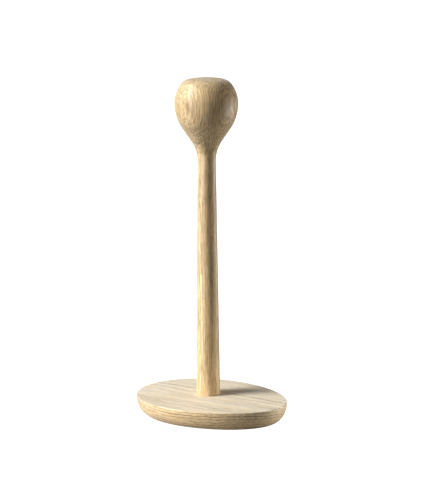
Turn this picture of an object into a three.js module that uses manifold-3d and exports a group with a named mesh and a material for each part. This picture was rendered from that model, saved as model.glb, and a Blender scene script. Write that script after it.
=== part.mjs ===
// A paper towel holder turned and shaped from solid oak. A pebble-shaped base, wider at one end
// than at the other, carries a slim post that swells into a round knob. The knob is wider than the
// core of a paper roll, so the post screws out of the base to change the roll: a hanger bolt in the
// post's foot runs in a threaded insert let into the base. Four rubber pads keep the base off the table.
//
// Millimetres, +Z up. The origin is on the table, under the middle of the base. +X runs along the
// base towards its narrow end, and the grain of the base runs the same way.
import * as THREE from "three";
import { mergeVertices } from "three/addons/utils/BufferGeometryUtils.js";
import Module from "manifold-3d";

const wasm = await Module();
wasm.setup();

// Base
const BASE_LENGTH = 162;
const BASE_WIDTH = 125; // across the middle of its length
const BASE_THICKNESS = 20;
const BASE_NARROWING = 0.095; // share of the width lost towards +X and gained towards -X
const EDGE_UNDERCUT = 14; // how far the side curves in on its way down to the underside
const ARRIS = 0.5; // the sharp top edge, just broken

// Post
const POST_X = -8.5; // the post stands off the middle of the base
const POST_Y = 5;
const POST_HEIGHT = 319.5; // from the foot to the top of the knob
const FOOT_DIAMETER = 24;
const FOOT_CHAMFER = 0.4;
const NECK_DIAMETER = 18.1; // where the straight taper ends, under the knob
const NECK_FILLET = 36;
const KNOB_DIAMETER = 62.6;
const KNOB_RISE = 25.5; // from the widest point of the knob to its top
const KNOB_DROP = 38; // vertical half-axis of the knob's lower half
const KNOB_CONE = 34.5; // degrees off the vertical, between the knob and the neck's fillet
const CROWN_RADIUS = 90; // the nearly flat top
const SHOULDER_RADIUS = 13; // rounds the top into the sides

// Hanger bolt: a machine thread below the foot, a wood thread inside the post
const BOLT_DIAMETER = 8;
const BOLT_REACH = 10; // machine thread below the foot
const BOLT_GRIP = 26; // from the foot to the bolt's point, inside the post
const BOLT_COLLAR = 2; // plain shank between the two threads
const MACHINE_PITCH = 1.25;
const MACHINE_THREAD_DEPTH = 0.65;
const WOOD_PITCH = 3.2;
const WOOD_THREAD_DEPTH = 1.1;
const POINT_LENGTH = 4;
const POINT_DIAMETER = 2;

// Threaded insert
const INSERT_LENGTH = 13;
const INSERT_SINK = 0.5; // below the top of the base
const INSERT_WALL = 1.3; // from the bore to the root of the outer thread
const INSERT_RIM = 1; // plain at both ends
const INSERT_PITCH = 2.75;
const INSERT_THREAD_DEPTH = 0.7;
const INSERT_KEY_STEP = 0.3; // from the bore out to the flats of the key's hexagon socket
const INSERT_KEY_DEPTH = 3;

// Pads
const PAD_DIAMETER = 10;
const PAD_HEIGHT = 1.5;
const PAD_CHAMFER = 0.3;
const PAD_MARGIN = 3; // from the pad to the edge of the flat underside
const PAD_BEARING = 45; // degrees round the base's outline, from each end of its length

// Fits
const RUNNING_GAP = 0.2; // round the machine thread, in the insert's bore
const BEDDED_GAP = 0.3; // round a piece that is fixed in wood
const BORE_SPARE = 1.5; // blind holes go this much deeper than what they hold

// Fineness
const OUTLINE_STEPS = 96;
const TURNED_STEPS = 64;
const SMALL_STEPS = 32;
const ARC_STEP = 7.5; // degrees

const baseTop = PAD_HEIGHT + BASE_THICKNESS;
const insertBore = BOLT_DIAMETER / 2 + RUNNING_GAP;
const insertRoot = insertBore + INSERT_WALL;
const insertRadius = insertRoot + INSERT_THREAD_DEPTH;

// Oak, plated steel, zinc and rubber.
const oak = new THREE.MeshStandardMaterial({ color: 0xdcc39a, roughness: 0.6, metalness: 0 });
const turnedOak = new THREE.MeshStandardMaterial({ color: 0xd0ae7c, roughness: 0.55, metalness: 0 });
const platedSteel = new THREE.MeshStandardMaterial({ color: 0xb9bcc0, roughness: 0.35, metalness: 1 });
const zinc = new THREE.MeshStandardMaterial({ color: 0x9c9a92, roughness: 0.45, metalness: 1 });
const rubber = new THREE.MeshStandardMaterial({ color: 0x3a3a3a, roughness: 0.9, metalness: 0 });

// A closed geometry as a manifold-3d solid, and back again.
function solidOf(geometry) {
  const bare = geometry.clone();
  bare.deleteAttribute("normal");
  bare.deleteAttribute("uv");
  const merged = mergeVertices(bare, 1e-4);
  return new wasm.Manifold(
    new wasm.Mesh({
      numProp: 3,
      vertProperties: merged.attributes.position.array,
      triVerts: new Uint32Array(merged.index.array),
    }),
  );
}

function geometryOf(solid) {
  const mesh = solid.getMesh();
  const geometry = new THREE.BufferGeometry();
  geometry.setAttribute("position", new THREE.BufferAttribute(mesh.vertProperties, 3));
  geometry.setIndex(new THREE.BufferAttribute(mesh.triVerts, 1));
  geometry.computeVertexNormals();
  return geometry;
}

// A closed skin over a stack of rings, each a list of the same number of points, anticlockwise seen
// from above, from the lowest ring to the highest. Both ends are closed by a fan.
function stack(rings) {
  const around = rings[0].length;
  const points = rings.flat();
  const ends = [rings[0], rings[rings.length - 1]].map((ring) =>
    ring.reduce((sum, p) => sum.add(p), new THREE.Vector3()).divideScalar(around),
  );
  const faces = [];
  for (let row = 0; row + 1 < rings.length; row++) {
    for (let i = 0; i < around; i++) {
      const a = row * around + i;
      const b = row * around + ((i + 1) % around);
      faces.push(a, b, b + around, a, b + around, a + around);
    }
  }
  const bottom = points.length;
  const last = (rings.length - 1) * around;
  for (let i = 0; i < around; i++) {
    const next = (i + 1) % around;
    faces.push(bottom, next, i);
    faces.push(bottom + 1, last + i, last + next);
  }
  const geometry = new THREE.BufferGeometry().setFromPoints([...points, ...ends]);
  geometry.setIndex(faces);
  geometry.computeVertexNormals();
  return geometry;
}

// A profile of [radius, height] pairs turned about the Z axis.
function turned(profile, steps) {
  const points = profile.map(([radius, height]) => new THREE.Vector2(radius, height));
  return new THREE.LatheGeometry(points, steps).rotateX(Math.PI / 2);
}

// Points on an arc of an ellipse, as [radius, height] pairs, from one angle to the other in degrees.
function arc(centreRadius, centreHeight, acrossRadius, upRadius, from, to) {
  const steps = Math.ceil(Math.abs(to - from) / ARC_STEP);
  return Array.from({ length: steps + 1 }, (_, i) => {
    const angle = THREE.MathUtils.degToRad(from + ((to - from) * i) / steps);
    return [centreRadius + acrossRadius * Math.cos(angle), centreHeight + upRadius * Math.sin(angle)];
  });
}

// The outline of a screw thread, from one height up to another, drawn as rings rather than a helix.
function thread(radius, depth, pitch, from, to) {
  const rings = Math.floor((to - from) / pitch);
  const low = from + (to - from - rings * pitch) / 2;
  return Array.from({ length: rings }, (_, i) => [
    [radius - depth, low + i * pitch],
    [radius, low + (i + 0.5) * pitch],
  ])
    .flat()
    .concat([[radius - depth, low + rings * pitch]]);
}

// A point of the base's outline drawn in by a distance, at a height. The outline is an ellipse
// whose width falls off evenly from the wide end to the narrow one.
function outlinePoint(angle, drawnIn, height) {
  const halfLength = BASE_LENGTH / 2;
  const halfWidth = BASE_WIDTH / 2;
  const along = Math.cos(angle);
  const across = Math.sin(angle);
  const x = halfLength * along;
  const y = halfWidth * across * (1 - BASE_NARROWING * along);
  const slopeX = -halfLength * across;
  const slopeY = halfWidth * (along - BASE_NARROWING * (along * along - across * across));
  const slope = Math.hypot(slopeX, slopeY);
  return new THREE.Vector3(
    x - (drawnIn * slopeY) / slope,
    y + (drawnIn * slopeX) / slope,
    height,
  );
}

function outline(drawnIn, height) {
  return Array.from({ length: OUTLINE_STEPS }, (_, i) =>
    outlinePoint((i / OUTLINE_STEPS) * 2 * Math.PI, drawnIn, height),
  );
}

// The side is a quarter of an ellipse in section: upright at the top edge and level at the underside.
function makeBase() {
  const rise = BASE_THICKNESS - ARRIS;
  const side = arc(EDGE_UNDERCUT, rise, -EDGE_UNDERCUT, -rise, 90, 0);
  const rings = side.map(([drawnIn, height]) => outline(drawnIn, PAD_HEIGHT + height));
  rings.push(outline(ARRIS, baseTop));
  const blank = solidOf(stack(rings));

  const boreDepth = Math.max(INSERT_SINK + INSERT_LENGTH, BOLT_REACH) + BORE_SPARE;
  const boreRadius = insertRadius + BEDDED_GAP;
  const drill = new THREE.CylinderGeometry(boreRadius, boreRadius, 2 * boreDepth, SMALL_STEPS);
  drill.rotateX(Math.PI / 2).translate(POST_X, POST_Y, baseTop);
  return new THREE.Mesh(geometryOf(blank.subtract(solidOf(drill))), oak);
}

// The outside of the post from the edge of its foot to the middle of its crown.
function postProfile() {
  const footRadius = FOOT_DIAMETER / 2;
  const neckRadius = NECK_DIAMETER / 2;
  const knobRadius = KNOB_DIAMETER / 2;
  const knobHeight = POST_HEIGHT - KNOB_RISE;
  const cone = THREE.MathUtils.degToRad(KNOB_CONE);

  // The lower half of the knob ends where its slope is the cone's.
  const leave = Math.atan((KNOB_DROP / knobRadius) * Math.tan(cone));
  const knobEnd = [knobRadius * Math.cos(leave), knobHeight - KNOB_DROP * Math.sin(leave)];
  // The fillet meets the neck upright, and meets the cone where the cone is this wide.
  const filletEndRadius = neckRadius + NECK_FILLET * (1 - Math.cos(cone));
  const filletEndHeight = knobEnd[1] - (knobEnd[0] - filletEndRadius) / Math.tan(cone);
  const filletHeight = filletEndHeight - NECK_FILLET * Math.sin(cone);

  // The shoulder touches the crown and the knob from the inside, so its centre is on two circles.
  const crownCentre = POST_HEIGHT - CROWN_RADIUS;
  const fromCrown = CROWN_RADIUS - SHOULDER_RADIUS;
  const fromKnob = knobRadius - SHOULDER_RADIUS;
  const apart = knobHeight - crownCentre;
  const up = (fromCrown ** 2 - fromKnob ** 2 + apart ** 2) / (2 * apart);
  const shoulder = [Math.sqrt(fromCrown ** 2 - up ** 2), crownCentre + up];
  const bearingFrom = (height) =>
    THREE.MathUtils.radToDeg(Math.atan2(shoulder[1] - height, shoulder[0]));
  const knobLeaves = bearingFrom(knobHeight);
  const crownJoins = bearingFrom(crownCentre);

  const leaveDegrees = THREE.MathUtils.radToDeg(leave);
  return [
    [footRadius - FOOT_CHAMFER, 0],
    [footRadius, FOOT_CHAMFER],
    [neckRadius, filletHeight],
    ...arc(neckRadius + NECK_FILLET, filletHeight, -NECK_FILLET, NECK_FILLET, 0, KNOB_CONE).slice(1),
    ...arc(0, knobHeight, knobRadius, KNOB_DROP, -leaveDegrees, 0),
    ...arc(0, knobHeight, knobRadius, knobRadius, 0, knobLeaves).slice(1),
    ...arc(...shoulder, SHOULDER_RADIUS, SHOULDER_RADIUS, knobLeaves, crownJoins).slice(1),
    ...arc(0, crownCentre, CROWN_RADIUS, CROWN_RADIUS, crownJoins, 90).slice(1, -1),
    [0, POST_HEIGHT],
  ];
}

function makePost() {
  const boreRadius = BOLT_DIAMETER / 2 + BEDDED_GAP;
  const boreDepth = BOLT_GRIP + BORE_SPARE;
  const bore = [
    [0, boreDepth],
    [boreRadius, boreDepth],
    [boreRadius, 0],
  ];
  const post = new THREE.Mesh(turned([...bore, ...postProfile()], TURNED_STEPS), turnedOak);
  post.position.set(POST_X, POST_Y, baseTop);
  return post;
}

function makeHangerBolt() {
  const radius = BOLT_DIAMETER / 2;
  const length = BOLT_REACH + BOLT_GRIP;
  const machineRoot = radius - MACHINE_THREAD_DEPTH;
  const woodRoot = radius - WOOD_THREAD_DEPTH;
  const woodFrom = BOLT_REACH + BOLT_COLLAR;
  const profile = [
    [0, 0],
    [machineRoot, 0],
    ...thread(radius, MACHINE_THREAD_DEPTH, MACHINE_PITCH, MACHINE_THREAD_DEPTH, BOLT_REACH),
    [radius, BOLT_REACH],
    [radius, woodFrom],
    ...thread(radius, WOOD_THREAD_DEPTH, WOOD_PITCH, woodFrom + WOOD_THREAD_DEPTH, length - POINT_LENGTH),
    [woodRoot, length - POINT_LENGTH],
    [POINT_DIAMETER / 2, length],
    [0, length],
  ];
  const bolt = new THREE.Mesh(turned(profile, SMALL_STEPS), platedSteel);
  bolt.position.set(POST_X, POST_Y, baseTop - BOLT_REACH);
  return bolt;
}

function makeThreadedInsert() {
  const threadTop = INSERT_LENGTH - INSERT_RIM;
  const profile = [
    [insertBore, 0],
    [insertRoot, 0],
    ...thread(insertRadius, INSERT_THREAD_DEPTH, INSERT_PITCH, INSERT_RIM, threadTop),
    [insertRoot, INSERT_LENGTH],
    [insertBore, INSERT_LENGTH],
    [insertBore, 0],
  ];
  const body = turned(profile, SMALL_STEPS);

  const keyCorner = (insertBore + INSERT_KEY_STEP) / Math.cos(Math.PI / 6);
  const key = new THREE.CylinderGeometry(keyCorner, keyCorner, 2 * INSERT_KEY_DEPTH, 6);
  key.rotateX(Math.PI / 2).translate(0, 0, INSERT_LENGTH);
  const insert = new THREE.Mesh(geometryOf(solidOf(body).subtract(solidOf(key))), zinc);
  insert.position.set(POST_X, POST_Y, baseTop - INSERT_SINK - INSERT_LENGTH);
  return insert;
}

function makePad() {
  const radius = PAD_DIAMETER / 2;
  const profile = [
    [0, 0],
    [radius - PAD_CHAMFER, 0],
    [radius, PAD_CHAMFER],
    [radius, PAD_HEIGHT],
    [0, PAD_HEIGHT],
  ];
  return new THREE.Mesh(turned(profile, SMALL_STEPS), rubber);
}

function named(name, mesh) {
  mesh.name = name;
  return mesh;
}

const holder = new THREE.Group();
holder.add(named("base", makeBase()));
holder.add(named("post", makePost()));
holder.add(named("hanger_bolt", makeHangerBolt()));
holder.add(named("threaded_insert", makeThreadedInsert()));

const padInset = EDGE_UNDERCUT + PAD_MARGIN + PAD_DIAMETER / 2;
const padBearings = {
  pad_narrow_left: PAD_BEARING,
  pad_wide_left: 180 - PAD_BEARING,
  pad_wide_right: 180 + PAD_BEARING,
  pad_narrow_right: 360 - PAD_BEARING,
};
for (const [name, bearing] of Object.entries(padBearings)) {
  const pad = named(name, makePad());
  const angle = THREE.MathUtils.degToRad(bearing);
  pad.position.copy(outlinePoint(angle, padInset, 0));
  holder.add(pad);
}

export default holder;
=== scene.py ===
# A free-standing paper towel holder in oiled oak: a slim turned post with a round knob, screwed
# into a pebble-shaped base that stands on four rubber pads. The pieces follow in the order they
# are put together, each with its sizes, mesh and finish, and then the table, lights and camera.
import math

import bmesh
import bpy
from mathutils import Matrix, Vector


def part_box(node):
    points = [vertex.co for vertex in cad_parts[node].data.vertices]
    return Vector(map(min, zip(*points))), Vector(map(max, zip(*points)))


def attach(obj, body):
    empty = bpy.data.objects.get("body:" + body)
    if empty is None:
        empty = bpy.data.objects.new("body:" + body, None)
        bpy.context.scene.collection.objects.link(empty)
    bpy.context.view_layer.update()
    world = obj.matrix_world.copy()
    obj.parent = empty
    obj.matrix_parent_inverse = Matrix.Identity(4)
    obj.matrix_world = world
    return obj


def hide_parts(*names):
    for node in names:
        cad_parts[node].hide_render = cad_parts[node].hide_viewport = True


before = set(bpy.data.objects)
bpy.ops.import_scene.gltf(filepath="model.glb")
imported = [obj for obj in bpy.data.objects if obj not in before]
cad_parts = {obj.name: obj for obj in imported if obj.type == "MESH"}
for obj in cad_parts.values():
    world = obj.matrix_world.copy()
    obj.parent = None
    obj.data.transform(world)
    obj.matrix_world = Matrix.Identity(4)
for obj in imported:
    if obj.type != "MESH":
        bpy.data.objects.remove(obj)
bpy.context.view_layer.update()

# ---------------------------------------------------------------------------------------------
# Base: one piece of oak, sawn to an egg-shaped outline and sanded smooth, with its grain along
# its length. The side curves in to a smaller flat underside, the top edge is left nearly sharp,
# and a blind hole under the post takes the threaded insert.
MM = 0.001
base_low, base_high = (Vector(corner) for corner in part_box("base"))
post_low, post_high = (Vector(corner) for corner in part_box("post"))
insert_low, insert_high = (Vector(corner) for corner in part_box("threaded_insert"))
post_axis = (post_low + post_high) / 2
BASE_HALF_LENGTH = (base_high.x - base_low.x) / 2
BASE_HALF_WIDTH = 62.5 * MM
BASE_NARROWING = 0.095
EDGE_UNDERCUT = 14 * MM
ARRIS = 0.6 * MM
OUTLINE_STEPS = 288
SIDE_ROWS = 28
ARRIS_ROWS = 4
BORE_CLEARANCE = 0.3 * MM
BORE_SPARE_DEPTH = 1.5 * MM
BORE_RADIUS = (insert_high.x - insert_low.x) / 2 + BORE_CLEARANCE
BORE_CHAMFER = 0.5 * MM
BORE_FLOOR = insert_low.z - BORE_SPARE_DEPTH
WELD_DISTANCE = 1e-7
CRISP_ANGLE = math.radians(40)


def outline_point(bearing, drawn_in, height):
    """A point of the base's outline, drawn in by a distance along the outline's own normal."""
    along = math.cos(bearing)
    across = math.sin(bearing)
    width = BASE_HALF_WIDTH * (1 - BASE_NARROWING * along)
    point = Vector((BASE_HALF_LENGTH * along, width * across, height))
    slope_y = BASE_HALF_WIDTH * (along - BASE_NARROWING * (along * along - across * across))
    inward = Vector((-slope_y, -BASE_HALF_LENGTH * across, 0)).normalized()
    return point + drawn_in * inward


def bore_point(bearing, radius, height):
    """A point on a circle about the post's axis."""
    return Vector((
        post_axis.x + radius * math.cos(bearing),
        post_axis.y + radius * math.sin(bearing),
        height,
    ))


def next_ring(bm, edges, place):
    """Extrudes a ring of edges and puts each new point where place says for its bearing."""
    bearing = bm.verts.layers.float["bearing"]
    made = bmesh.ops.extrude_edge_only(bm, edges=edges)["geom"]
    for point in made:
        if isinstance(point, bmesh.types.BMVert):
            point.co = place(point[bearing])
    return [edge for edge in made if isinstance(edge, bmesh.types.BMEdge)]


def as_piece(bm, name):
    """Turns a bmesh into an object at the origin. Only edges under the crisp angle look smooth."""
    bmesh.ops.remove_doubles(bm, verts=bm.verts, dist=WELD_DISTANCE)
    bmesh.ops.recalc_face_normals(bm, faces=bm.faces)
    for face in bm.faces:
        face.smooth = True
    for edge in bm.edges:
        edge.smooth = edge.calc_face_angle(0) < CRISP_ANGLE
    mesh = bpy.data.meshes.new(name)
    bm.to_mesh(mesh)
    bm.free()
    piece = bpy.data.objects.new(name, mesh)
    bpy.context.scene.collection.objects.link(piece)
    return piece


def write_end_grain(piece, along):
    """Stores how squarely each point cuts across the grain: 0 along it, 1 on end grain."""
    share = piece.data.attributes.new("end_grain", "FLOAT", "POINT")
    for point in piece.data.vertices:
        share.data[point.index].value = abs(point.normal.dot(along))


bm = bmesh.new()
bearing = bm.verts.layers.float.new("bearing")
rim = bmesh.ops.create_circle(bm, segments=OUTLINE_STEPS, radius=1)["verts"]
for point in rim:
    point[bearing] = math.atan2(point.co.y, point.co.x)
    point.co = outline_point(point[bearing], ARRIS, base_high.z)
top_edge = list(bm.edges)

ring = top_edge
for row in range(1, ARRIS_ROWS + 1):
    turn = math.pi / 2 * row / ARRIS_ROWS
    drawn_in = ARRIS * (1 - math.sin(turn))
    height = base_high.z - ARRIS * (1 - math.cos(turn))
    ring = next_ring(bm, ring, lambda at: outline_point(at, drawn_in, height))
side_height = base_high.z - ARRIS - base_low.z
for row in range(1, SIDE_ROWS + 1):
    turn = math.pi / 2 * row / SIDE_ROWS
    drawn_in = EDGE_UNDERCUT * (1 - math.cos(turn))
    height = base_high.z - ARRIS - side_height * math.sin(turn)
    ring = next_ring(bm, ring, lambda at: outline_point(at, drawn_in, height))
bmesh.ops.contextual_create(bm, geom=ring)

chamfer_low = base_high.z - BORE_CHAMFER
ring = next_ring(bm, top_edge, lambda at: bore_point(at, BORE_RADIUS + BORE_CHAMFER, base_high.z))
ring = next_ring(bm, ring, lambda at: bore_point(at, BORE_RADIUS, chamfer_low))
ring = next_ring(bm, ring, lambda at: bore_point(at, BORE_RADIUS, BORE_FLOOR))
bmesh.ops.contextual_create(bm, geom=ring)
base = as_piece(bm, "oak_base")
write_end_grain(base, Vector((1, 0, 0)))


class Value:
    """One output of a shader node. Arithmetic on it adds Math nodes to its finish."""

    def __init__(self, finish, socket):
        self.finish = finish
        self.socket = socket

    def math(self, operation, *others):
        inputs = dict(enumerate([self, *others]))
        return self.finish.node("ShaderNodeMath", {"operation": operation}, inputs)["Value"]

    def __add__(self, other):
        return self.math("ADD", other)

    __radd__ = __add__

    def __mul__(self, other):
        return self.math("MULTIPLY", other)

    __rmul__ = __mul__

    def __sub__(self, other):
        return self.math("SUBTRACT", other)

    def __rsub__(self, other):
        return self.math("MULTIPLY_ADD", -1, other)

    def __truediv__(self, other):
        return self.math("DIVIDE", other)

    def __rtruediv__(self, other):
        inputs = {0: other, 1: self}
        return self.finish.node("ShaderNodeMath", {"operation": "DIVIDE"}, inputs)["Value"]

    def ease(self, low, high):
        """Goes smoothly from 0 to 1 as this value goes from low to high."""
        settings = {"interpolation_type": "SMOOTHSTEP"}
        inputs = {"Value": self, "From Min": low, "From Max": high}
        return self.finish.node("ShaderNodeMapRange", settings, inputs)["Result"]


class Outputs:
    """The outputs of one shader node, by name or by number."""

    def __init__(self, finish, node):
        self.finish = finish
        self.node = node

    def __getitem__(self, key):
        return Value(self.finish, self.node.outputs[key])


class Finish:
    """A material under construction."""

    def __init__(self, name):
        self.material = bpy.data.materials.new(name)
        self.material.use_nodes = True
        self.tree = self.material.node_tree
        self.shader = self.tree.nodes["Principled BSDF"]

    def node(self, kind, settings, inputs):
        """Adds a node. Settings come first, then each socket gets its value or its link."""
        node = self.tree.nodes.new(kind)
        for name, setting in settings.items():
            setattr(node, name, setting)
        self.fill(node, inputs)
        return Outputs(self, node)

    def fill(self, node, inputs):
        for key, value in inputs.items():
            if isinstance(value, Value):
                self.tree.links.new(value.socket, node.inputs[key])
            else:
                node.inputs[key].default_value = value

    def surface(self, **inputs):
        """Sets the shader's sockets, named with underscores for their spaces."""
        self.fill(self.shader, {key.replace("_", " "): value for key, value in inputs.items()})

    def place(self):
        """Where a point is on the piece, in millimetres: x, y and z."""
        spot = self.node("ShaderNodeTexCoord", {}, {})["Object"]
        inputs = {0: spot, "Scale": 1 / MM}
        scaled = self.node("ShaderNodeVectorMath", {"operation": "SCALE"}, inputs)["Vector"]
        parts = self.node("ShaderNodeSeparateXYZ", {}, {0: scaled})
        return parts["X"], parts["Y"], parts["Z"]

    def vector(self, x, y, z):
        return self.node("ShaderNodeCombineXYZ", {}, {"X": x, "Y": y, "Z": z})["Vector"]

    def length(self, x, y, z):
        """How far a point is from where x, y and z are all 0."""
        inputs = {0: self.vector(x, y, z)}
        return self.node("ShaderNodeVectorMath", {"operation": "LENGTH"}, inputs)["Value"]

    def noise(self, x, y, z, detail):
        """Soft clouds from 0 to 1, about one unit across."""
        inputs = {"Vector": self.vector(x, y, z), "Scale": 1.0, "Detail": detail}
        return self.node("ShaderNodeTexNoise", {}, inputs)["Fac"]

    def cells(self, x, y, z):
        """Distance to the nearest of the points scattered one to a cell."""
        inputs = {"Vector": self.vector(x, y, z), "Scale": 1.0}
        return self.node("ShaderNodeTexVoronoi", {}, inputs)["Distance"]

    def chance(self, value):
        """The same random number from 0 to 1 for the same whole number."""
        settings = {"noise_dimensions": "1D"}
        return self.node("ShaderNodeTexWhiteNoise", settings, {"W": value})["Value"]

    def mix(self, share, first, second, blend="MIX"):
        """Colours mixed: all first at share 0, all second at share 1."""
        settings = {"data_type": "RGBA", "blend_type": blend, "clamp_factor": True}
        return self.node("ShaderNodeMix", settings, {0: share, 6: first, 7: second})[2]

    def bump(self, height):
        """A relief of a height in millimetres."""
        inputs = {"Height": height, "Distance": MM, "Strength": 1.0}
        return self.node("ShaderNodeBump", {}, inputs)["Normal"]


OAK_LATE = (0.800, 0.590, 0.310, 1)
OAK_EARLY = (0.400, 0.235, 0.090, 1)
OAK_PORE = (0.230, 0.120, 0.042, 1)
OAK_RAY = (0.900, 0.735, 0.480, 1)
OAK_ROSY = (0.690, 0.455, 0.240, 1)
OAK_END = (0.930, 0.970, 1.080, 1)
# The last colour makes sanded wood paler and cooler: partly real sanding, partly painted sheen and
# painted light from above.
OAK_SANDED_AND_SHEEN = (1.070, 1.250, 1.680, 1)


def oak(
    wood, along, radial, tangential, *, ring_width, band, figure, unrest, flecks, polish, sanded_and_sheen=0.0
):
    """Oiled oak. Along, radial and tangential are places in the tree, in millimetres. Band is the
    share of a ring that is dark spring wood, figure how strongly it shows, unrest how far the
    rings wander, flecks how coarse the fibres are, polish how much oil has built up to a gloss,
    and the sanding share where the surface was rubbed down matt and its colour made paler and
    cooler, partly as real sanded wood and partly as painted sheen and painted light from above.
    Where a place is divided by a number, that is about the size in millimetres of such a mark,
    first along the grain.
    """
    # Rings: each year starts with a dark band of spring wood, stronger in some years, and ends in
    # pale late wood.
    wander = wood.noise(along / 60, radial / 26, tangential / 26, 2.0)
    waver = wood.noise(along / 15, radial / 5, tangential / 5, 1.0)
    grown = radial + wander * (9 * unrest) + waver * (1.9 * unrest)
    uneven = wood.noise(grown / 7, 0.0, 0.0, 0.0)
    rings = (grown + 2.0 * uneven) / ring_width
    year = rings.math("FLOOR")
    season = rings.math("FRACT")
    spring = season.ease(band, 0.10).math("MAXIMUM", season.ease(0.94, 1.0))
    early = spring * (wood.chance(year) * 0.70 + 0.30)
    summer = season.ease(0.60, 0.80) - season.ease(0.86, 0.96)

    # Fibres, pores and rays: most marks are long and thin, and the pores crowd the spring wood.
    fine = wood.noise(along / 24, radial / 0.5, tangential / 0.5, 2.0)
    strand = wood.noise(along / 60, radial / 1.5, tangential / 1.5, 3.0).ease(0.38, 0.62)
    broad = wood.noise(along / 130, radial / 5, tangential / 5, 1.0).ease(0.35, 0.68)
    dash = wood.noise(along / 11, radial / 1.15, tangential / 1.15, 2.0).ease(0.47, 0.62) * flecks
    holes = wood.cells(along / 4.2, radial / 0.42, tangential / 0.42)
    pores = (early * 0.28 + 0.10 - holes).ease(-0.06, 0.10)
    rays = wood.noise(along / 7, radial / 9, tangential / 0.9, 1.0).ease(0.56, 0.66)

    # Colour: the rings first, then what lies over them.
    colour = wood.mix(early * figure, OAK_LATE, OAK_EARLY)
    colour = wood.mix(summer * 0.36, colour, OAK_RAY)
    colour = wood.mix(broad * 0.20, colour, OAK_ROSY)
    colour = wood.mix(dash * (early * 0.22 + 0.28), colour, OAK_PORE)
    colour = wood.mix(rays * (0.40 * flecks), colour, OAK_RAY)
    shade = fine * 0.30 + strand * (-0.14 - 0.24 * flecks) + (0.93 + 0.15 * flecks)
    colour = wood.mix(1.0, colour, wood.vector(shade, shade, shade), "MULTIPLY")
    colour = wood.mix(pores * 0.80, colour, OAK_PORE)
    end_grain = wood.node("ShaderNodeAttribute", {"attribute_name": "end_grain"}, {})["Fac"]
    colour = wood.mix(end_grain.ease(0.35, 1.0), colour, OAK_END, "MULTIPLY")
    # Painted sheen: the sanding share makes the colour paler and cooler. This is partly real sanded
    # wood and partly a painted reflection of the pale room and painted light from above.
    if sanded_and_sheen:
        colour = wood.mix(sanded_and_sheen, colour, OAK_SANDED_AND_SHEEN, "MULTIPLY")

    # Relief, in millimetres: the pores are the deepest, and the hard rays stand proud.
    relief = fine * 0.012 - pores * 0.07 - early * 0.020 - dash * 0.010 + rays * 0.006
    wood.surface(
        Base_Color=colour,
        Roughness=0.44 + pores * 0.25 + fine * 0.10 - rays * 0.08 + sanded_and_sheen * 0.26,
        Normal=wood.bump(relief),
        IOR=1.48,
        Sheen_Weight=0.35,
        Sheen_Roughness=0.4,
        Coat_Weight=polish,
        Coat_Roughness=0.45,
    )


# The board was sawn well away from the pith, so its rings cross the base as wide, shallow arcs.
# Its top was sanded most, and the sanding fades out down the side. The paler, cooler colour there
# is partly the sanded wood and partly painted sheen and painted light from above. Distances in
# millimetres.
BASE_PITH_Y = -38.0
BASE_PITH_Z = -153.2
SANDED_AND_SHEEN_TOP = 0.82
SANDED_AND_SHEEN_SIDE = 0.18
SANDED_AND_SHEEN_DEPTH = 18
TOP_FADE_FROM = 0.5
TOP_FADE_TO = 0.1
SIDE_FIGURE = 0.95
FIGURE_SANDED_OFF = 0.63
base_oak = Finish("base oak")
x, y, z = base_oak.place()
radial = base_oak.length(0.0, y - BASE_PITH_Y, z - BASE_PITH_Z)
top_mm = base_high.z / MM
flat_top = z.ease(top_mm - TOP_FADE_FROM, top_mm - TOP_FADE_TO)
upper_side = z.ease(top_mm - SANDED_AND_SHEEN_DEPTH, top_mm)
oak(
    base_oak,
    x,
    radial,
    y,
    ring_width=3.0,
    band=0.40,
    figure=SIDE_FIGURE - flat_top * FIGURE_SANDED_OFF,
    unrest=0.40,
    flecks=0.60,
    polish=0.0,
    sanded_and_sheen=flat_top * SANDED_AND_SHEEN_TOP + upper_side * SANDED_AND_SHEEN_SIDE,
)
base.data.materials.append(base_oak.material)
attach(base, "stand")
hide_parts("base")

# ---------------------------------------------------------------------------------------------
# Post: stem and knob turned as one from an oak blank, with the grain along its length. The foot
# has a fine chamfer, the stem tapers up to the neck, and the knob is round with a nearly flat
# crown. A blind pilot hole in the foot takes the hanger bolt.
POST_STEPS = 240
FOOT_RADIUS = 12 * MM
FOOT_CHAMFER = 0.4 * MM
NECK_RADIUS = 9.05 * MM
NECK_FILLET = 36 * MM
KNOB_RADIUS = (post_high.x - post_low.x) / 2
KNOB_RISE = 25.5 * MM
KNOB_DROP = 38 * MM
KNOB_CONE = math.radians(34.5)
CROWN_RADIUS = 90 * MM
SHOULDER_RADIUS = 13 * MM
PILOT_RADIUS = 4.3 * MM
PILOT_DEPTH = 27.5 * MM
STEM_ROWS = 40
ARC_STEP = math.radians(2)
post_height = post_high.z - post_low.z


def arc(radius, height, across, up, start, end):
    """Points of an ellipse's arc, as pairs of a radius and a height."""
    steps = max(2, round(abs(end - start) / ARC_STEP))
    turns = [start + (end - start) * step / steps for step in range(steps + 1)]
    return [(radius + across * math.cos(turn), height + up * math.sin(turn)) for turn in turns]


def turned(profile, steps, axis_at):
    """Turns a profile, pairs of a radius and a height, about an upright axis."""
    bm = bmesh.new()
    points = [
        bm.verts.new((axis_at.x + radius, axis_at.y, axis_at.z + height))
        for radius, height in profile
    ]
    edges = [bm.edges.new(pair) for pair in zip(points, points[1:])]
    bmesh.ops.spin(
        bm,
        geom=points + edges,
        cent=axis_at,
        axis=(0, 0, 1),
        angle=2 * math.pi,
        steps=steps,
        use_merge=True,
    )
    bmesh.ops.remove_doubles(bm, verts=bm.verts, dist=WELD_DISTANCE)
    return bm


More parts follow.
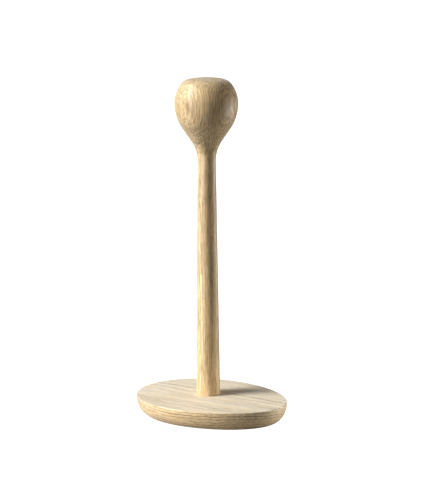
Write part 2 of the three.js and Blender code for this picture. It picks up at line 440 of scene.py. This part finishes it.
# The stem's fillet runs into the knob's underside on a short cone, which touches both.
knob_height = post_height - KNOB_RISE
leave = math.atan(KNOB_DROP / KNOB_RADIUS * math.tan(KNOB_CONE))
knob_end = (KNOB_RADIUS * math.cos(leave), knob_height - KNOB_DROP * math.sin(leave))
fillet_end_radius = NECK_RADIUS + NECK_FILLET * (1 - math.cos(KNOB_CONE))
fillet_end_height = knob_end[1] - (knob_end[0] - fillet_end_radius) / math.tan(KNOB_CONE)
neck_height = fillet_end_height - NECK_FILLET * math.sin(KNOB_CONE)

# The shoulder's arc touches both the crown and the knob from inside.
crown_centre = post_height - CROWN_RADIUS
from_crown = CROWN_RADIUS - SHOULDER_RADIUS
from_knob = KNOB_RADIUS - SHOULDER_RADIUS
apart = knob_height - crown_centre
above = (from_crown**2 - from_knob**2 + apart**2) / (2 * apart)
shoulder = (math.sqrt(from_crown**2 - above**2), crown_centre + above)
knob_leaves = math.atan2(shoulder[1] - knob_height, shoulder[0])
crown_joins = math.atan2(shoulder[1] - crown_centre, shoulder[0])

stem = [
    (FOOT_RADIUS + (NECK_RADIUS - FOOT_RADIUS) * row / STEM_ROWS, neck_height * row / STEM_ROWS)
    for row in range(1, STEM_ROWS + 1)
]
profile = [
    (0, PILOT_DEPTH),
    (PILOT_RADIUS, PILOT_DEPTH),
    (PILOT_RADIUS, 0),
    (FOOT_RADIUS - FOOT_CHAMFER, 0),
    (FOOT_RADIUS, FOOT_CHAMFER),
    *stem,
    *arc(NECK_RADIUS + NECK_FILLET, neck_height, -NECK_FILLET, NECK_FILLET, 0, KNOB_CONE)[1:],
    *arc(0, knob_height, KNOB_RADIUS, KNOB_DROP, -leave, 0),
    *arc(0, knob_height, KNOB_RADIUS, KNOB_RADIUS, 0, knob_leaves)[1:],
    *arc(*shoulder, SHOULDER_RADIUS, SHOULDER_RADIUS, knob_leaves, crown_joins)[1:],
    *arc(0, crown_centre, CROWN_RADIUS, CROWN_RADIUS, crown_joins, math.pi / 2)[1:-1],
    (0, post_height),
]
foot_centre = Vector((post_axis.x, post_axis.y, post_low.z))
post = as_piece(turned(profile, POST_STEPS, foot_centre), "oak_post")
write_end_grain(post, Vector((0, 0, 1)))

# The blank came from beside a fork, so its rings close in on two piths, one on each side.
# Distances in millimetres, bearings in degrees.
PITH_REACH = 62.0
PITH_BEARINGS = (-93.0, -11.0)
PITH_BLEND = 9.0
post_oak = Finish("post oak")
x, y, z = post_oak.place()
distances = []
for degrees in PITH_BEARINGS:
    turn = math.radians(degrees)
    pith_x = post_axis.x / MM + PITH_REACH * math.cos(turn)
    pith_y = post_axis.y / MM + PITH_REACH * math.sin(turn)
    distances.append(post_oak.length(x - pith_x, y - pith_y, 0.0))
radial = distances[0].math("SMOOTH_MIN", distances[1], PITH_BLEND)
tangential = distances[0] - distances[1]
oak(
    post_oak,
    z,
    radial,
    tangential,
    ring_width=2.1,
    band=0.55,
    figure=0.24,
    unrest=0.75,
    flecks=1.0,
    polish=0.2,
)
post.data.materials.append(post_oak.material)
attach(post, "post")
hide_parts("post")

# ---------------------------------------------------------------------------------------------
# Hanger bolt: a bright zinc-plated steel rod with two threads. Its coarse wood thread is driven
# up into the post and stays there, and its fine machine thread screws down into the base.
BOLT_STEPS = 48
BOLT_REACH = 10 * MM
BOLT_GRIP = 26 * MM
BOLT_COLLAR = 2 * MM
MACHINE_PITCH = 1.25 * MM
MACHINE_DEPTH = 0.65 * MM
MACHINE_CREST = 0.12
WOOD_PITCH = 3.2 * MM
WOOD_DEPTH = 1.1 * MM
WOOD_CREST = 0.30
COLLAR_GAP = 0.2 * MM
WOOD_GAP = 0.1 * MM
FLANK_STEEPNESS = 1.25
ON_SURFACE = 0.01 * MM
POINT_LENGTH = 4 * MM
POINT_RADIUS = 1 * MM
POINT_STEP = 0.5 * MM
POINT_BLUNT = 0.3 * MM
bolt_low, bolt_high = (Vector(corner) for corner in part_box("hanger_bolt"))
bolt_foot = Vector((post_axis.x, post_axis.y, bolt_low.z))
BOLT_RADIUS = (bolt_high.x - bolt_low.x) / 2


def rows(radius, low, high, spacing):
    """A plain stretch of a profile, with enough rows for a thread to be cut in it."""
    count = round(abs(high - low) / spacing)
    return [(radius, low + (high - low) * row / count) for row in range(count + 1)]


def cut_thread(bm, axis_at, radius, depth, pitch, low, high, crest):
    """Winds a groove into the turned surface at a radius. Crest is the share of it left uncut."""
    for point in bm.verts:
        out = Vector((point.co.x - axis_at.x, point.co.y - axis_at.y, 0))
        height = point.co.z - axis_at.z
        if abs(out.length - radius) > ON_SURFACE or not low < height < high:
            continue
        phase = (height / pitch - math.atan2(out.y, out.x) / (2 * math.pi)) % 1
        groove = min(1, max(0, 2 * min(phase, 1 - phase) - crest) / (1 - crest) * FLANK_STEEPNESS)
        fade = min(1, (height - low) / pitch, (high - height) / pitch)
        point.co -= out.normalized() * depth * groove * fade


bolt_length = BOLT_REACH + BOLT_GRIP
wood_from = BOLT_REACH + BOLT_COLLAR
point_from = bolt_length - POINT_LENGTH
profile = [
    (0, 0),
    (BOLT_RADIUS - MACHINE_DEPTH, 0),
    *rows(BOLT_RADIUS, MACHINE_DEPTH, BOLT_REACH, MACHINE_PITCH / 10),
    *rows(BOLT_RADIUS, BOLT_REACH + COLLAR_GAP, wood_from, BOLT_COLLAR / 4),
    *rows(BOLT_RADIUS, wood_from + WOOD_GAP, point_from, WOOD_PITCH / 16),
    (BOLT_RADIUS - WOOD_DEPTH, point_from + POINT_STEP),
    (POINT_RADIUS, bolt_length - POINT_BLUNT),
    (0, bolt_length),
]
bm = turned(profile, BOLT_STEPS, bolt_foot)
machine_from = -MACHINE_PITCH  # full depth right from the tip
cut_thread(
    bm, bolt_foot, BOLT_RADIUS, MACHINE_DEPTH, MACHINE_PITCH, machine_from, BOLT_REACH, MACHINE_CREST
)
cut_thread(
    bm, bolt_foot, BOLT_RADIUS, WOOD_DEPTH, WOOD_PITCH, wood_from, bolt_length, WOOD_CREST
)
bolt = as_piece(bm, "steel_hanger_bolt")


def metal(finish, colour, stain, roughness, grain):
    """Plated or cast metal: faint clouds in its colour and its polish, and a fine grain."""
    x, y, z = finish.place()
    cloud = finish.noise(x / 6, y / 6, z / 6, 3.0).ease(0.35, 0.65)
    speck = finish.noise(x / grain, y / grain, z / grain, 2.0)
    finish.surface(
        Base_Color=finish.mix(cloud * 0.6 + speck * 0.2, colour, stain),
        Roughness=roughness + cloud * 0.10 + speck * 0.08,
        Normal=finish.bump(speck * 0.01),
        Metallic=1.0,
    )


PLATING = (0.72, 0.73, 0.75, 1)
PLATING_STAIN = (0.60, 0.62, 0.66, 1)
plated = Finish("zinc plated steel")
metal(plated, PLATING, PLATING_STAIN, roughness=0.22, grain=0.5)
bolt.data.materials.append(plated.material)
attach(bolt, "bolt")
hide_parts("hanger_bolt")

# ---------------------------------------------------------------------------------------------
# Threaded insert: a sleeve of cast zinc with a coarse thread outside, which cuts its own way into
# the base's bore, a fine thread inside for the bolt, and a hexagon socket at the top for the key.
INSERT_STEPS = 72
INSERT_WALL = 1.3 * MM
INSERT_DEPTH = 0.7 * MM
INSERT_PITCH = 2.75 * MM
INSERT_CREST = 0.25
INSERT_CHAMFER = 0.4 * MM
BOLT_CLEARANCE = 0.2 * MM
TAPPED_RADIUS = BOLT_RADIUS + BOLT_CLEARANCE
TAPPED_DEPTH = 0.35 * MM
TAPPED_CREST = 0.15
KEY_DEPTH = 3 * MM
KEY_STEP = 0.3 * MM
insert_radius = TAPPED_RADIUS + INSERT_WALL + INSERT_DEPTH
insert_length = insert_high.z - insert_low.z
insert_foot = Vector((post_axis.x, post_axis.y, insert_low.z))
key_floor = insert_length - KEY_DEPTH
key_flat = TAPPED_RADIUS + KEY_STEP
profile = [
    (TAPPED_RADIUS + INSERT_CHAMFER, 0),
    (insert_radius - INSERT_DEPTH - INSERT_CHAMFER, 0),
    *rows(insert_radius, INSERT_DEPTH, insert_length - INSERT_DEPTH, INSERT_PITCH / 14),
    (insert_radius - INSERT_DEPTH - INSERT_CHAMFER, insert_length),
    (key_flat, insert_length),
    (key_flat, key_floor),
    *rows(TAPPED_RADIUS, key_floor, INSERT_CHAMFER, MACHINE_PITCH / 8),
    (TAPPED_RADIUS + INSERT_CHAMFER, 0),
]
bm = turned(profile, INSERT_STEPS, insert_foot)
cut_thread(
    bm, insert_foot, insert_radius, INSERT_DEPTH, INSERT_PITCH, 0, insert_length, INSERT_CREST
)
cut_thread(
    bm, insert_foot, TAPPED_RADIUS, -TAPPED_DEPTH, MACHINE_PITCH, 0, key_floor, TAPPED_CREST
)

# The round socket is pushed out to a hexagon.
for point in bm.verts:
    out = Vector((point.co.x - insert_foot.x, point.co.y - insert_foot.y, 0))
    in_socket = point.co.z - insert_foot.z > key_floor - ON_SURFACE
    if in_socket and abs(out.length - key_flat) < ON_SURFACE:
        side = math.atan2(out.y, out.x) % (math.pi / 3) - math.pi / 6
        point.co += out.normalized() * key_flat * (1 / math.cos(side) - 1)
insert = as_piece(bm, "zinc_threaded_insert")
CAST_ZINC = (0.60, 0.60, 0.59, 1)
CAST_STAIN = (0.46, 0.46, 0.46, 1)
cast = Finish("cast zinc")
metal(cast, CAST_ZINC, CAST_STAIN, roughness=0.38, grain=0.3)
insert.data.materials.append(cast.material)
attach(insert, "stand")
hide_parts("threaded_insert")

# ---------------------------------------------------------------------------------------------
# Pads: four round feet of black rubber, stuck to the flat underside so that the base doesn't
# slide or mark the table. The lower edge is rounded and the middle is slightly dished.
PAD_EDGE = 0.5 * MM
PAD_DISH = 0.15 * MM
PAD_STEPS = 64
PAD_RINGS = 8
PAD_EDGE_STRIDE = 5
RUBBER_BLACK = (0.022, 0.022, 0.024, 1)
RUBBER_SCUFFED = (0.060, 0.058, 0.056, 1)
rubber = Finish("black rubber")
x, y, z = rubber.place()
speck = rubber.noise(x / 0.25, y / 0.25, z / 0.25, 2.0)
scuff = rubber.noise(x / 3, y / 3, z / 3, 3.0).ease(0.40, 0.70)
rubber.surface(
    Base_Color=rubber.mix(scuff * 0.5 + speck * 0.3, RUBBER_BLACK, RUBBER_SCUFFED),
    Roughness=0.62 + scuff * 0.20,
    Normal=rubber.bump(speck * 0.03),
)
for node in ("pad_narrow_left", "pad_wide_left", "pad_wide_right", "pad_narrow_right"):
    pad_low, pad_high = (Vector(corner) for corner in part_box(node))
    middle = (pad_low + pad_high) / 2
    pad_radius = (pad_high.x - pad_low.x) / 2
    pad_height = pad_high.z - pad_low.z
    dished = pad_radius - 2 * PAD_EDGE
    shares = [ring / PAD_RINGS for ring in range(PAD_RINGS + 1)]
    edge = arc(pad_radius - PAD_EDGE, PAD_EDGE, PAD_EDGE, PAD_EDGE, -math.pi / 2, 0)
    profile = [
        *[(dished * share, PAD_DISH * (1 - share**2)) for share in shares],
        *edge[::PAD_EDGE_STRIDE],
        (pad_radius, pad_height),
        (0, pad_height),
    ]
    bm = turned(profile, PAD_STEPS, Vector((middle.x, middle.y, pad_low.z)))
    pad = as_piece(bm, "rubber_" + node)
    pad.data.materials.append(rubber.material)
    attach(pad, "stand")
    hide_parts(node)

# ---------------------------------------------------------------------------------------------
# Table, lights and camera: a plain white table, soft daylight from a window on the left, a weaker
# glow from a wall behind on the right, two small white cards that lighten the shaded sides, and
# the camera.
VIEW_AZIMUTH = math.radians(34.4)
TABLE_HALF_SIZE = 30
TABLE_GLOW = 0.97
right = Vector((math.cos(VIEW_AZIMUTH), math.sin(VIEW_AZIMUTH), 0))
away = Vector((-math.sin(VIEW_AZIMUTH), math.cos(VIEW_AZIMUTH), 0))
up = Vector((0, 0, 1))

bm = bmesh.new()
bmesh.ops.create_grid(bm, x_segments=1, y_segments=1, size=TABLE_HALF_SIZE)
table = as_piece(bm, "table")

# It glows white where the camera sees it. The light that it throws back on the holder comes from
# its paint, which is paler near the base than far from it. Distances in millimetres.
PAINT_NEAR = 0.31
PAINT_FAR = 0.13
NEAR_BASE = 120
FAR_FROM_BASE = 240
pale = Finish("pale table")
glow = pale.node("ShaderNodeLightPath", {}, {})["Is Camera Ray"] * TABLE_GLOW
x, y, _ = pale.place()
near = pale.length(x, y, 0.0).ease(FAR_FROM_BASE, NEAR_BASE)
paint = near * (PAINT_NEAR - PAINT_FAR) + PAINT_FAR
pale.surface(
    Base_Color=pale.vector(paint, paint, paint),
    Roughness=0.9,
    Emission_Color=pale.vector(glow, glow, glow),
    Emission_Strength=1.0,
)
table.data.materials.append(pale.material)


def sunlight(name, bearing, elevation, strength, softness, colour):
    """A distant soft light. Its bearing is 0 straight behind the camera, positive to the right,
    and its softness is how wide it looks, all angles in degrees.
    """
    flat = math.sin(math.radians(bearing)) * right - math.cos(math.radians(bearing)) * away
    to_light = math.cos(math.radians(elevation)) * flat + math.sin(math.radians(elevation)) * up
    lamp = bpy.data.lights.new(name, "SUN")
    lamp.energy = strength
    lamp.color = colour
    lamp.angle = math.radians(softness)
    light = bpy.data.objects.new(name, lamp)
    light.rotation_euler = (-to_light).to_track_quat("-Z", "Y").to_euler()
    bpy.context.scene.collection.objects.link(light)


SKY = (0.97, 1.0, 1.16)
WHITE = (1.0, 1.0, 1.0)
sunlight("window_upper", bearing=-77, elevation=37, strength=3.1, softness=26, colour=WHITE)
sunlight("window_lower", bearing=-63, elevation=3, strength=1.35, softness=30, colour=SKY)


def card(name, bearing, reach, height, size, power, colour):
    """A square of soft light that faces the post's foot, at a reach from it and a height over it,
    in millimetres.
    """
    side = math.radians(bearing)
    lamp = bpy.data.lights.new(name, "AREA")
    lamp.energy = power
    lamp.color = colour
    lamp.size = size * MM
    light = bpy.data.objects.new(name, lamp)
    light.visible_camera = False
    outward = math.sin(side) * right - math.cos(side) * away
    light.location = foot_centre + reach * MM * outward + height * MM * up
    light.rotation_euler = (foot_centre - light.location).to_track_quat("-Z", "Y").to_euler()
    bpy.context.scene.collection.objects.link(light)


card("wall_beyond", bearing=103, reach=700, height=120, size=300, power=2.1, colour=WHITE)
card("white_card_left", bearing=-78, reach=330, height=10, size=160, power=0.24, colour=SKY)
card("white_card_right", bearing=60, reach=140, height=-4, size=30, power=0.012, colour=WHITE)

# The room is white where the camera sees it, dimmer in what the surfaces mirror, and gives hardly
# any light itself.
ROOM_MIRRORED = 0.40
ROOM_LIGHT = 0.01
world = bpy.data.worlds.new("studio")
world.use_nodes = True
background = world.node_tree.nodes["Background"]
background.inputs["Color"].default_value = (1, 1, 1, 1)
path = world.node_tree.nodes.new("ShaderNodeLightPath")
reflected = world.node_tree.nodes.new("ShaderNodeMath")
reflected.operation = "MULTIPLY_ADD"
reflected.inputs[1].default_value = ROOM_MIRRORED
reflected.inputs[2].default_value = ROOM_LIGHT
world.node_tree.links.new(path.outputs["Is Glossy Ray"], reflected.inputs[0])
strength = world.node_tree.nodes.new("ShaderNodeMath")
strength.operation = "ADD"
world.node_tree.links.new(path.outputs["Is Camera Ray"], strength.inputs[0])
world.node_tree.links.new(reflected.outputs[0], strength.inputs[1])
world.node_tree.links.new(strength.outputs[0], background.inputs["Strength"])
bpy.context.scene.world = world

CAMERA_DISTANCE = 1818 * MM
CAMERA_ABOVE_BASE = 485.4 * MM
CAMERA_RIGHT = 9.1 * MM
CAMERA_PITCH = math.radians(10.53)
CAMERA_ROLL = math.radians(0.35)
SENSOR_WIDTH = 36
FOCAL_LENGTH = 133.74
lens = bpy.data.cameras.new("camera")
lens.sensor_width = SENSOR_WIDTH
lens.lens = FOCAL_LENGTH
camera = bpy.data.objects.new("camera", lens)
stand = foot_centre + CAMERA_RIGHT * right - CAMERA_DISTANCE * away + CAMERA_ABOVE_BASE * up
facing = math.cos(CAMERA_PITCH) * away - math.sin(CAMERA_PITCH) * up
aim = facing.to_track_quat("-Z", "Y").to_matrix().to_4x4()
camera.matrix_world = Matrix.Translation(stand) @ aim @ Matrix.Rotation(-CAMERA_ROLL, 4, "Z")
bpy.context.scene.collection.objects.link(camera)
bpy.context.scene.camera = camera
bpy.context.scene.view_settings.view_transform = "Standard"
bpy.context.scene.view_settings.look = "Medium High Contrast"
